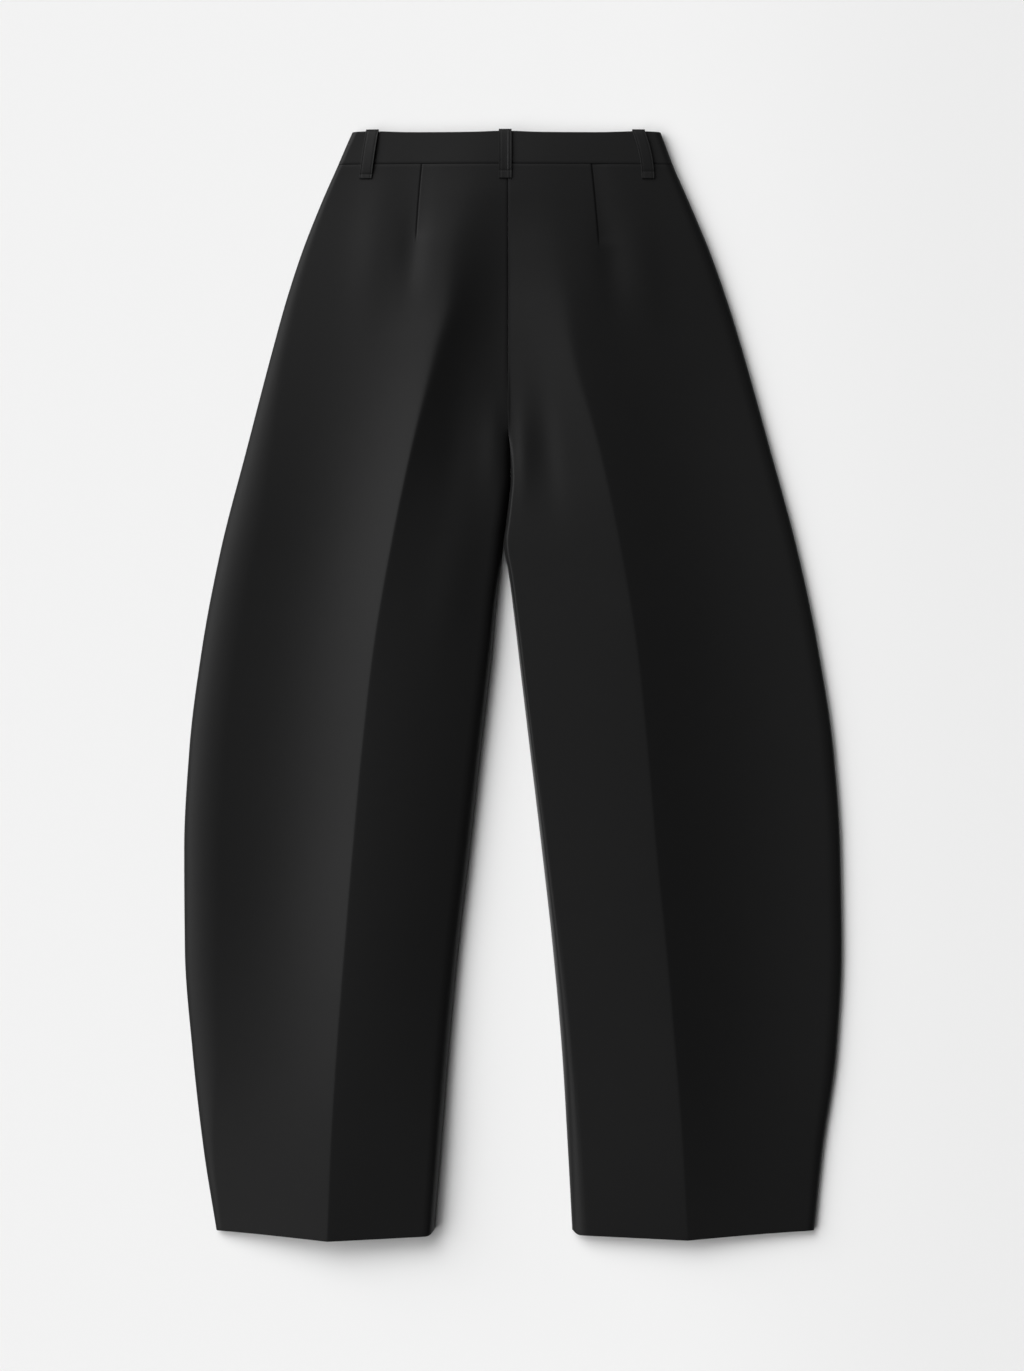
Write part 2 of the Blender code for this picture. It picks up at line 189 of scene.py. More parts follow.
RIGHT_ROUNDS = (
    EdgeRound(0.0, 10.0, 7.5, 3.0, 1.0, 1.0, 40.0),
    EdgeRound(32.0, 10.5, 8.5, 3.0, 0.9, 1.0, 34.0),
    EdgeRound(117.0, 11.5, 12.0, 3.0, 0.6, 1.0, 16.0),
    EdgeRound(215.0, 11.0, 13.0, 3.0, 0.3, 0.9, 5.0),
    EdgeRound(313.0, 10.5, 13.0, 3.2, 0.0, 0.8, 1.6),
    EdgeRound(411.0, 10.5, 13.0, 3.2, 0.0, 0.9, 1.2),
    EdgeRound(705.0, 10.5, 13.0, 4.5, 0.0, 1.0, 1.0),
    EdgeRound(901.0, 10.5, 12.0, 8.0, 0.05, 1.0, 1.0),
    EdgeRound(999.0, 10.5, 10.0, 12.0, 0.3, 1.0, 1.0),
    EdgeRound(1078.0, 10.0, 8.0, 15.0, 0.6, 1.0, 1.0),
)
CENTRES = (
    CentreLine(0.0, -3.9, 0.15, 14.6, 14.8, 0.0),
    CentreLine(32.0, -3.9, 0.15, 16.8, 17.1, 0.0),
    CentreLine(68.0, -3.9, 0.15, 18.2, 18.6, 0.0),
    CentreLine(117.0, -3.9, 0.15, 17.9, 18.4, 0.0),
    CentreLine(165.0, -3.9, 0.15, 16.6, 17.0, 0.0),
    CentreLine(215.0, -3.9, 0.15, 16.2, 17.0, 0.0),
    CentreLine(290.0, -3.9, 0.15, 17.4, 19.2, 0.0),
    CentreLine(315.0, -1.8, 0.15, 9.5, 18.5, 0.0),
    CentreLine(340.0, -1.2, 0.15, 7.0, 15.0, 1.0),
    CentreLine(362.0, -3.2, 0.15, 5.15, 9.0, 4.85),
    CentreLine(385.0, -6.0, 0.15, 5.15, 5.15, 4.85),
    CentreLine(400.0, -8.0, 0.15, 5.15, 5.15, 4.85),
    CentreLine(412.0, -8.2, 1.0, 5.15, 5.15, 4.85),
    CentreLine(435.0, -7.4, 4.3, 5.15, 5.15, 4.85),
    CentreLine(460.0, -7.3, 7.5, 5.15, 5.15, 4.85),
    CentreLine(509.0, -6.6, 12.6, 5.15, 5.15, 4.85),
    CentreLine(607.0, -6.4, 24.0, 5.15, 5.15, 4.85),
    CentreLine(705.0, -6.0, 35.3, 5.15, 5.15, 4.85),
    CentreLine(803.0, -6.3, 46.5, 5.15, 5.15, 4.85),
    CentreLine(901.0, -6.5, 55.4, 5.15, 5.15, 4.85),
    CentreLine(999.0, -7.4, 62.2, 5.15, 5.15, 4.85),
    CentreLine(1078.0, -8.5, 67.5, 5.15, 5.15, 4.85),
)

# The origin halves the garment's length, from the belt loops' tops to the hem's tip, and its widest place
LOOP_STANDOFF = 0.45
LOOP_WALL = 1.4
TOP = (HEM + HEM_TIP - LOOP_STANDOFF - LOOP_WALL) / 2
MIDDLE = (max(row.outer for row in RIGHT_SECTIONS) + min(row.outer for row in LEFT_SECTIONS)) / 2


def smoothstep(value: float) -> float:
    """Rises from 0 to 1 between 0 and 1, level at both ends."""
    t = min(max(value, 0.0), 1.0)
    return t * t * (3.0 - 2.0 * t)


def quarter(r: np.ndarray) -> np.ndarray:
    """Drop of a quarter round, from 0 where it starts to 1 where it stands upright."""
    return 1.0 - np.sqrt(np.clip(1.0 - r * r, 0.0, 1.0))


def roll(r: np.ndarray, depth: float) -> np.ndarray:
    """Drop of an edge that rolls down: a shallow groove bends a little, and a deep one stands upright."""
    upright = smoothstep(depth / DEEP_SEAM)
    return (1.0 - upright) * r * r + upright * quarter(r)


def ramp_sum(q: np.ndarray, bend: float) -> np.ndarray:
    """Height of a slope that grows smoothly from 0 to 1 over the share bend and then stays."""
    t = np.clip(q / bend, 0.0, 1.0)
    return bend * (t**3 - t**4 / 2.0) + np.clip(q - bend, 0.0, None)


def spaced(start: float, end: float, count: int, peaks: Sequence[tuple[float, float, float]]) -> np.ndarray:
    """Values from start to end, closer together at the peaks.

    Args:
        start: The first value.
        end: The last value.
        count: Number of values.
        peaks: A place, a reach and a strength for each place that needs more values.

    Returns:
        The values.
    """
    fine = np.linspace(start, end, 800)
    density = np.ones_like(fine)
    for at, reach, strength in peaks:
        density += strength * np.exp(-(((fine - at) / reach) ** 2))
    total = np.concatenate([[0.0], np.cumsum((density[1:] + density[:-1]) / 2 * np.diff(fine))])
    return np.interp(np.linspace(0.0, total[-1], count), total, fine)


def place(x: np.ndarray, down: np.ndarray, height: np.ndarray) -> np.ndarray:
    """Points in the frame, in metres, from the tables' millimetres."""
    y = np.broadcast_to(TOP - down, x.shape)
    return np.stack([x - MIDDLE, y, height], axis=1) * MM


@dataclass(frozen=True)
class SoftFold:
    """A soft trough or ridge: its middle, its reach each way, its height and its lean."""

    down: float
    x: float
    reach_down: float
    reach_across: float
    height: float
    lean: float = 0.0

    def lift(self, down: float, x: np.ndarray) -> np.ndarray:
        """Height that the fold adds at a distance down and places x."""
        along = (down - self.down) / self.reach_down
        aside = (x - self.x - self.lean * (down - self.down)) / self.reach_across
        return self.height * np.exp(-(along**2) - aside**2)


@dataclass(frozen=True)
class Dart:
    """A stitched dart: a fine groove from the waist seam down to its tip, with one side a little under the other."""

    top_x: float
    middle_x: float
    tip_x: float
    tip_down: float
    groove: float
    width: float
    step: float
    step_reach: float = 14.0
    fade_length: float = 12.0

    def line(self, down: float) -> float:
        """Place x of the dart's seam at a distance down."""
        share = min(max((down - BAND_HEIGHT) / (self.tip_down - BAND_HEIGHT), 0.0), 1.0)
        bow = self.middle_x - (self.top_x + self.tip_x) / 2
        return (1 - share) * self.top_x + share * self.tip_x + 4 * bow * share * (1 - share)

    def lift(self, down: float, x: np.ndarray) -> np.ndarray:
        """Height that the dart adds at a distance down and places x."""
        fade = smoothstep((self.tip_down - down) / self.fade_length)
        aside = (x - self.line(down)) / self.width
        groove = self.groove * np.exp(-(aside**2))
        under = 0.5 * self.step * (1.0 + np.tanh(1.5 * aside))
        under = under * np.exp(-((np.clip(aside, 0.0, None) * self.width / self.step_reach) ** 2))
        return -fade * (groove + under)


class RowCurve:
    """A smooth curve through the rows of a table, which start with down."""

    def __init__(self, rows: Sequence) -> None:
        """Works out the slope of every column at every row.

        Args:
            rows: The table's rows, from the top down.
        """
        self.kind = type(rows[0])
        names = [f.name for f in fields(self.kind)]
        self.values = np.array([[getattr(row, name) for name in names] for row in rows])
        self.at = self.values[:, 0]
        chords = np.diff(self.values, axis=0) / np.diff(self.at)[:, None]
        product = chords[:-1] * chords[1:]
        total = np.where(product > 0.0, chords[:-1] + chords[1:], 1.0)
        inner = np.where(product > 0.0, 2.0 * product / total, 0.0)
        self.slopes = np.vstack([chords[:1], inner, chords[-1:]])

    def row(self, down: float) -> Section | EdgeRound | CentreLine:
        """The table's row at any distance down."""
        i = int(np.clip(np.searchsorted(self.at, down, side="right") - 1, 0, len(self.at) - 2))
        span = self.at[i + 1] - self.at[i]
        t = min(max((down - self.at[i]) / span, 0.0), 1.0)
        start = (1 + 2 * t) * (1 - t) ** 2 * self.values[i] + t * (1 - t) ** 2 * span * self.slopes[i]
        end = t * t * (3 - 2 * t) * self.values[i + 1] - t * t * (1 - t) * span * self.slopes[i + 1]
        return self.kind(*(start + end))


@dataclass(frozen=True)
class LegShape:
    """One section of a leg, with its widths measured inward from the side seam."""

    inward: int
    section: Section
    edges: EdgeRound
    centre: CentreLine
    width: float

    @property
    def crease(self) -> float:
        """Distance across at which the crease runs."""
        return (self.section.crease - self.section.outer) * self.inward

    def back_height(self, across: np.ndarray) -> np.ndarray:
        """Height of the back's outer surface at distances across."""
        edges, section = self.edges, self.section
        flank = self.crease - edges.outer_round
        inner = self.width - edges.inner_round - self.crease
        climb = section.ridge - edges.brim
        fall = section.ridge - section.shoulder
        steep = 1.0 / (edges.start + (1.0 - edges.start) * float(ramp_sum(np.array(1.0), edges.bend)))
        foot_slope = climb * steep * edges.start / flank
        foot = edges.brim - foot_slope * edges.outer_round
        foot_drop = foot - SIDE_SEAM_HEIGHT - SEAM_GAP / 2
        outer_part = foot + foot_slope * across
        outer_part = outer_part - foot_drop * quarter(1.0 - np.clip(across / edges.outer_round, 0.0, 1.0))
        q = np.clip((across - edges.outer_round) / flank, 0.0, 1.0)
        flank_part = edges.brim + climb * steep * (edges.start * q + (1.0 - edges.start) * ramp_sum(q, edges.bend))
        r = np.clip((across - self.crease) / inner, 0.0, 1.0)
        inner_part = section.ridge - fall * (r + section.hollow * r * (1.0 - r))
        end_slope = fall * (1.0 - section.hollow) / inner
        past = np.clip(across - self.crease - inner, 0.0, edges.inner_round)
        seam = self.centre.left_seam if self.inward > 0 else self.centre.right_seam
        depth = section.shoulder - end_slope * edges.inner_round - seam
        roll_part = section.shoulder - end_slope * past - depth * roll(past / edges.inner_round, depth)
        height = np.where(across < edges.outer_round, outer_part, flank_part)
        height = np.where(across > self.crease, inner_part, height)
        height = np.where(across > self.crease + inner, roll_part, height)
        bend = climb * steep / flank + fall * (1.0 + section.hollow) / inner
        away = across - self.crease
        soft = edges.crease_width
        blunt = np.sqrt(away**2 + soft**2) - np.abs(away)
        return height - 0.5 * bend * blunt * np.exp(-((away / (3.0 * soft + 6.0)) ** 2))

    def front_height(self, across: np.ndarray) -> np.ndarray:
        """Height of the front's outer surface, flat between its turned-up edges."""
        outer = (SIDE_SEAM_HEIGHT - SEAM_GAP / 2) * quarter(1.0 - np.clip(across / FRONT_ROUND, 0.0, 1.0))
        past = np.clip((across - self.width + FRONT_ROUND) / FRONT_ROUND, 0.0, 1.0)
        return outer + self.centre.front_seam * roll(past, 2.0 * self.centre.front_seam)

    def hem_drop(self, across: np.ndarray) -> np.ndarray:
        """How far the back's hem hangs below the side seam's end, most at the crease."""
        outer = HEM_TIP * np.clip(across / self.crease, 0.0, 1.0) ** 1.2
        share = (across - self.crease) / (self.width - self.crease)
        corner = np.clip(1.0 - (self.width - across) / HEM_CORNER_WIDTH, 0.0, 1.0)
        inner = HEM_TIP + (HEM_INNER - HEM_TIP) * share - HEM_CORNER * corner**2
        return np.where(across < self.crease, outer, inner)

    def columns(self, count: int, peaks: Sequence[tuple[float, float, float]]) -> np.ndarray:
        """Distances across for a row of points, closer together at the peaks.

        Args:
            count: Number of points.
            peaks: A place, a reach and a strength for each place that needs more points.

        Returns:
            Distances across, from 0 to the section's width.
        """
        return spaced(0.0, self.width, count, peaks)


@dataclass
class LegForm:
    """The outer surfaces of one leg, back and front, from the waistband's top edge to the hem."""

    side: Side
    sections: Sequence[Section]
    rounds: Sequence[EdgeRound]
    back_folds: Sequence[SoftFold]
    front_folds: Sequence[SoftFold]
    dart: Dart
    section_curve: RowCurve = field(init=False)
    round_curve: RowCurve = field(init=False)
    centre_curve: RowCurve = field(init=False)

    def __post_init__(self) -> None:
        """Makes the curves through the leg's tables."""
        self.section_curve = RowCurve(self.sections)
        self.round_curve = RowCurve(self.rounds)
        self.centre_curve = RowCurve(CENTRES)

    def shape(self, down: float) -> LegShape:
        """The section at a distance down."""
        section = self.section_curve.row(down)
        edges = self.round_curve.row(down)
        centre = self.centre_curve.row(down)
        inner = centre.midline - self.side.value * centre.half_gap
        return LegShape(self.side.value, section, edges, centre, (inner - section.outer) * self.side.value)

    def heights(self, down: float, across: np.ndarray) -> np.ndarray:
        """Heights of the back's outer surface with its folds and its dart, in millimetres."""
        shape = self.shape(down)
        x = shape.section.outer + self.side.value * across
        height = shape.back_height(across)
        calm = np.clip((shape.width - across) / CALM_INNER, 0.0, 1.0) * np.clip(across / CALM_OUTER, 0.0, 1.0)
        for fold in self.back_folds:
            height = height + calm * fold.lift(down, x)
        if down > BAND_HEIGHT:
            height = height + self.dart.lift(down, x)
        return height

    def back(self, down: float, across: np.ndarray) -> np.ndarray:
        """Points of the back's outer surface, in metres.

        Args:
            down: Distance below the waistband's top edge.
            across: Distances from the side seam.

        Returns:
            An array with a row of x, y and z for each distance across.
        """
        shape = self.shape(down)
        x = shape.section.outer + self.side.value * across
        hem = smoothstep((down - HEM + HEM_FADE) / HEM_FADE)
        return place(x, down + shape.hem_drop(across) * hem, self.heights(down, across))

    def front(self, down: float, across: np.ndarray) -> np.ndarray:
        """Points of the front's outer surface, in metres, as back() gives the back's."""
        shape = self.shape(down)
        x = shape.section.outer + self.side.value * across
        fade = 1.0 - smoothstep((down - BAND_HEIGHT) / FRONT_DIP_FADE)
        share = np.clip(across / shape.width, 0.0, 1.0)
        dip = FRONT_DIP * fade * share * share * (3.0 - 2.0 * share)
        height = shape.front_height(across)
        calm = np.clip((shape.width - across) / CALM_OUTER, 0.0, 1.0) * np.clip(across / CALM_OUTER, 0.0, 1.0)
        for fold in self.front_folds:
            height = height + calm * fold.lift(down, x)
        return place(x, down + dip, height)

    def surface(self, x: float, down: float) -> float:
        """Height of the back's surface at a place, in millimetres."""
        shape = self.shape(down)
        across = min((x - shape.section.outer) * self.side.value, shape.width - shape.edges.inner_round)
        return float(self.heights(down, np.array([across]))[0])


def math_node(
    tree: bpy.types.NodeTree,
    operation: str,
    first: bpy.types.NodeSocket | float,
    second: bpy.types.NodeSocket | float | None = None,
) -> bpy.types.NodeSocket:
    """A Math node in a tree, fed by sockets or by plain numbers.

    Args:
        tree: The node tree to add to.
        operation: The node's operation.
        first: A socket or a number.
        second: A socket, a number, or None for an operation on one value.

    Returns:
        The node's output socket.
    """
    node = tree.nodes.new("ShaderNodeMath")
    node.operation = operation
    for slot, value in zip(node.inputs, (first, second)):
        if isinstance(value, bpy.types.NodeSocket):
            tree.links.new(value, slot)
        elif value is not None:
            slot.default_value = value
    return node.outputs[0]


def noise_node(
    tree: bpy.types.NodeTree, vector: bpy.types.NodeSocket, scale: float, detail: float
) -> bpy.types.NodeSocket:
    """A Noise Texture node in a tree.

    Args:
        tree: The node tree to add to.
        vector: The socket that gives its place.
        scale: The noise's scale.
        detail: The number of finer layers.

    Returns:
        The node's factor, from 0 to 1.
    """
    node = tree.nodes.new("ShaderNodeTexNoise")
    node.inputs["Scale"].default_value = scale
    node.inputs["Detail"].default_value = detail
    tree.links.new(vector, node.inputs["Vector"])
    return node.outputs["Fac"]


def scale_node(
    tree: bpy.types.NodeTree, vector: bpy.types.NodeSocket, scale: bpy.types.NodeSocket
) -> bpy.types.NodeSocket:
    """A Vector Math node in a tree that scales a vector.

    Args:
        tree: The node tree to add to.
        vector: The socket with the vector.
        scale: The socket with the factor.

    Returns:
        The scaled vector's socket.
    """
    node = tree.nodes.new("ShaderNodeVectorMath")
    node.operation = "SCALE"
    tree.links.new(vector, node.inputs[0])
    tree.links.new(scale, node.inputs["Scale"])
    return node.outputs[0]


def linked_object(bm: bmesh.types.BMesh, name: str, material: bpy.types.Material) -> bpy.types.Object:
    """Turns a bmesh into an object in the scene.

    Args:
        bm: The bmesh, which is freed.
        name: The object's name.
        material: The object's material.

    Returns:
        The new object.
    """
    mesh = bpy.data.meshes.new(name)
    bm.to_mesh(mesh)
    bm.free()
    mesh.materials.append(material)
    piece = bpy.data.objects.new(name, mesh)
    bpy.context.scene.collection.objects.link(piece)
    return piece


class SharedEffect:
    """An effect on the cloth's own map in metres, kept as a node group with named sockets."""

    NAME = ""
    INPUTS: tuple[str, ...] = ()
    OUTPUTS: tuple[str, ...] = ()

    @classmethod
    def group(cls) -> bpy.types.NodeTree:
        """The group, made on first use."""
        found = bpy.data.node_groups.get(cls.NAME)
        return found if found else cls.build()

    @classmethod
    def build(cls) -> bpy.types.NodeTree:
        """Makes the group with its sockets and fills it.

        Returns:
            The group's node tree.
        """
        tree = bpy.data.node_groups.new(cls.NAME, "ShaderNodeTree")
        tree.interface.new_socket(name="Map", in_out="INPUT", socket_type="NodeSocketVector")
        for name in cls.INPUTS:
            tree.interface.new_socket(name=name, in_out="INPUT", socket_type="NodeSocketFloat")
        for name in cls.OUTPUTS:
            tree.interface.new_socket(name=name, in_out="OUTPUT", socket_type="NodeSocketFloat")
        cls.fill(tree, tree.nodes.new("NodeGroupInput"), tree.nodes.new("NodeGroupOutput"))
        return tree

    @classmethod
    def fill(cls, tree: bpy.types.NodeTree, inputs: bpy.types.Node, outputs: bpy.types.Node) -> None:
        """Adds the effect's own nodes between the group's inputs and outputs."""
        raise NotImplementedError


class TwillWeave(SharedEffect):
    """The suiting's fine twill, which puts out a height and a shade."""

    NAME = "suiting_twill"
    INPUTS = ("Yarns per Metre", "Slub")
    OUTPUTS = ("Height", "Shade")

    @classmethod
    def fill(cls, tree: bpy.types.NodeTree, inputs: bpy.types.Node, outputs: bpy.types.Node) -> None:
        """Adds the diagonal ribs, the weft across them and the yarns' unevenness."""
        scaled = scale_node(tree, inputs.outputs["Map"], inputs.outputs["Yarns per Metre"])
        yarns = tree.nodes.new("ShaderNodeSeparateXYZ")
        tree.links.new(scaled, yarns.inputs[0])
        diagonal = math_node(tree, "ADD", yarns.outputs["X"], yarns.outputs["Y"])
        ribs = math_node(tree, "SINE", math_node(tree, "MULTIPLY", diagonal, math.tau / 4.0))
        weft = math_node(tree, "SINE", math_node(tree, "MULTIPLY", yarns.outputs["Y"], math.tau))
        woven = math_node(tree, "ADD", ribs, math_node(tree, "MULTIPLY", weft, 0.4))
        fine = noise_node(tree, scaled, 0.3, 3.0)
        uneven = math_node(tree, "MULTIPLY", math_node(tree, "SUBTRACT", fine, 0.5), inputs.outputs["Slub"])
        height = math_node(tree, "ADD", math_node(tree, "MULTIPLY", woven, 0.3), uneven)
        shade = math_node(tree, "ADD", math_node(tree, "MULTIPLY", woven, 0.1), uneven)
        tree.links.new(height, outputs.inputs["Height"])
        tree.links.new(math_node(tree, "ADD", shade, 0.5), outputs.inputs["Shade"])


class PressedNap(SharedEffect):
    """The faint cloudiness of pressed wool, which puts out a shade from 0 to 1 round a half."""

    NAME = "pressed_nap"
    INPUTS = ("Cloud Size",)
    OUTPUTS = ("Shade",)

    @classmethod
    def fill(cls, tree: bpy.types.NodeTree, inputs: bpy.types.Node, outputs: bpy.types.Node) -> None:
        """Adds the clouds."""
        clouds = math_node(tree, "DIVIDE", 1.0, inputs.outputs["Cloud Size"])
        scaled = scale_node(tree, inputs.outputs["Map"], clouds)
        tree.links.new(noise_node(tree, scaled, 1.0, 4.0), outputs.inputs["Shade"])


@dataclass(frozen=True)
class Suiting:
    """Black wool suiting: dark yarns in a fine twill, matte, with a faint sheen."""

    name: str
    colour: tuple[float, float, float]
    roughness: float = 0.45
    specular: float = 0.115
    sheen: float = 0.02
    sheen_roughness: float = 0.45
    yarns_per_metre: float = 2600.0
    slub: float = 0.5
    bump: float = 0.00006
    bump_strength: float = 0.35
    cloud_size: float = 0.04
    cloud_depth: float = 0.1

    def material(self) -> bpy.types.Material:
        """The finish as a material, made on first use."""
        found = bpy.data.materials.get(self.name)
        return found if found else self.build()

    def build(self) -> bpy.types.Material:
        """Makes the material's nodes.

        Returns:
            The material.
        """
        material = bpy.data.materials.new(self.name)
        material.use_nodes = True
        tree = material.node_tree
        nodes, links = tree.nodes, tree.links
        shader = nodes["Principled BSDF"]
        shader.inputs["Roughness"].default_value = self.roughness
        shader.inputs["Specular IOR Level"].default_value = self.specular
        shader.inputs["Sheen Weight"].default_value = self.sheen
        shader.inputs["Sheen Roughness"].default_value = self.sheen_roughness
        cloth_map = nodes.new("ShaderNodeUVMap")
        cloth_map.uv_map = "cloth"
        weave = nodes.new("ShaderNodeGroup")
        weave.node_tree = TwillWeave.group()
        weave.inputs["Yarns per Metre"].default_value = self.yarns_per_metre
        weave.inputs["Slub"].default_value = self.slub
        links.new(cloth_map.outputs["UV"], weave.inputs["Map"])
        nap = nodes.new("ShaderNodeGroup")
        nap.node_tree = PressedNap.group()
        nap.inputs["Cloud Size"].default_value = self.cloud_size
        links.new(cloth_map.outputs["UV"], nap.inputs["Map"])
        cloud = math_node(tree, "MULTIPLY", nap.outputs["Shade"], 2.0 * self.cloud_depth)
        shade = math_node(tree, "ADD", math_node(tree, "SUBTRACT", cloud, self.cloud_depth), weave.outputs["Shade"])
        yarn = nodes.new("ShaderNodeMix")
        yarn.data_type = "RGBA"
        yarn.inputs[6].default_value = (*(0.75 * c for c in self.colour), 1.0)
        yarn.inputs[7].default_value = (*(1.25 * c for c in self.colour), 1.0)
        links.new(shade, yarn.inputs[0])
        links.new(yarn.outputs[2], shader.inputs["Base Color"])
        bump = nodes.new("ShaderNodeBump")
        bump.inputs["Strength"].default_value = self.bump_strength
        bump.inputs["Distance"].default_value = self.bump
        links.new(weave.outputs["Height"], bump.inputs["Height"])
        links.new(bump.outputs["Normal"], shader.inputs["Normal"])
        return material


@dataclass(frozen=True)
class PaleFloor:
    """A smooth matte floor with painted shade: its colour darkens a little towards the right, where the light falls
    off.
    """

    name: str
    colour: tuple[float, float, float]
    dim_colour: tuple[float, float, float]
    dim_start: float = 0.1
    dim_end: float = 0.5
    roughness: float = 0.9

    def material(self) -> bpy.types.Material:
        """Makes the finish as a material.

        Returns:
            The material.
        """
        material = bpy.data.materials.new(self.name)
        material.use_nodes = True
        tree = material.node_tree
        shader = tree.nodes["Principled BSDF"]
        shader.inputs["Roughness"].default_value = self.roughness
        shader.inputs["Specular IOR Level"].default_value = 0.0
        at = tree.nodes.new("ShaderNodeTexCoord")
        split = tree.nodes.new("ShaderNodeSeparateXYZ")
        tree.links.new(at.outputs["Object"], split.inputs[0])
        # Painted shade: the colour fades to the darker one towards the right, as the light falls off.
        share = tree.nodes.new("ShaderNodeMapRange")
        share.interpolation_type = "SMOOTHSTEP"
        share.inputs["From Min"].default_value = self.dim_start
        share.inputs["From Max"].default_value = self.dim_end
        tree.links.new(split.outputs["X"], share.inputs["Value"])
        colours = tree.nodes.new("ShaderNodeMix")
        colours.data_type = "RGBA"
        colours.inputs[6].default_value = (*self.colour, 1.0)
        colours.inputs[7].default_value = (*self.dim_colour, 1.0)
        tree.links.new(share.outputs["Result"], colours.inputs[0])
        tree.links.new(colours.outputs[2], shader.inputs["Base Color"])
        return material


# The floor's second colour is painted shade on its right side.
PALE_FLOOR = PaleFloor("pale_floor", (0.8, 0.8, 0.8), (0.755, 0.755, 0.755))
PANEL_CLOTH = Suiting("suiting_panels", (0.0069, 0.0069, 0.007))
BAND_CLOTH = Suiting("suiting_waistband", (0.0082, 0.0082, 0.0083), cloud_size=0.03)
LOOP_CLOTH = Suiting("suiting_belt_loops", (0.0084, 0.0084, 0.0085), cloud_size=0.02)
THREAD = Suiting("sewing_thread", (0.008, 0.008, 0.0081), roughness=0.45, specular=0.1, yarns_per_metre=5000.0)


@dataclass
class ClothSheet:
    """A piece of cloth laid through rows of points, with a wall's thickness and its weave's own map.

    Seen from the outside the rows run from left to right, and the first row is the lowest.
    """

    name: str
    rows: list[np.ndarray]
    anchors: list[float]
    finish: Suiting
    slot: Slot
    nodes: list[str]
    wall: float
    turned: bool = False
    outward: bool = False
    soft_edge: float = 0.45

    def build(self) -> bpy.types.Object:
        """Makes the piece from a grid whose points are moved to the rows.

        Returns:
            The finished object.
        """
        along, across = len(self.rows) - 1, len(self.rows[0]) - 1
        points, spots = np.array(self.rows), self.cloth_map()
        bm = bmesh.new()
        layer = bm.loops.layers.uv.new("cloth")
        bmesh.ops.create_grid(bm, x_segments=across, y_segments=along, size=0.5)
        cells = {}
        for vert in bm.verts:
            cell = (round((vert.co.y + 0.5) * along), round((vert.co.x + 0.5) * across))
            cells[vert] = cell
            vert.co = points[cell]
        for face in bm.faces:
            face.smooth = True
            for corner in face.loops:
                corner[layer].uv = spots[cells[corner.vert]]
        if self.turned:
            bmesh.ops.reverse_faces(bm, faces=bm.faces[:])
        piece = linked_object(bm, self.name, self.finish.material())
        self.thicken(piece)
        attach(piece, ROOT)
        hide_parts(*self.nodes)
        return piece

    def thicken(self, piece: bpy.types.Object) -> None:
        """Adds the wall and rounds its edges.

        Args:
            piece: The piece's object.
        """
        wall = piece.modifiers.new("wall", "SOLIDIFY")
        wall.thickness = self.wall * MM
        wall.offset = 1.0 if self.outward else -1.0
        wall.use_even_offset = True
        edge = piece.modifiers.new("soft_edges", "BEVEL")
        edge.width = self.soft_edge * MM
        edge.segments = 3
        edge.limit_method = "ANGLE"
        edge.angle_limit = math.radians(50.0)

    def cloth_map(self) -> np.ndarray:
        """Each point's place on the flat cloth in metres, measured along the cloth from its anchor line.

        Returns:
            An array with two numbers for each point of each row.
        """
        spots = np.zeros((len(self.rows), len(self.rows[0]), 2))
        last, up = None, 0.0
        for i, (row, anchor) in enumerate(zip(self.rows, self.anchors)):
            length = np.concatenate([[0.0], np.cumsum(np.linalg.norm(np.diff(row, axis=0), axis=1))])
            order = np.arange(len(row))
            at = np.array([np.interp(anchor, order, row[:, k]) for k in range(3)])
            up += 0.0 if last is None else float(np.linalg.norm(at - last))
            last = at
            spots[i, :, 0] = length - np.interp(anchor, order, length)
            spots[i, :, 1] = up
        return spots

    def declare(self, piece: bpy.types.Object, rests_on: list[str], with_pieces: Sequence = ()) -> None:
        """Works out the piece's cloth map, and does nothing more with it.

        Args:
            piece: The finished object; not used.
            rests_on: Names of what it lies on; not used.
            with_pieces: Separate pieces on it; not used.
        """
        spots = self.cloth_map()


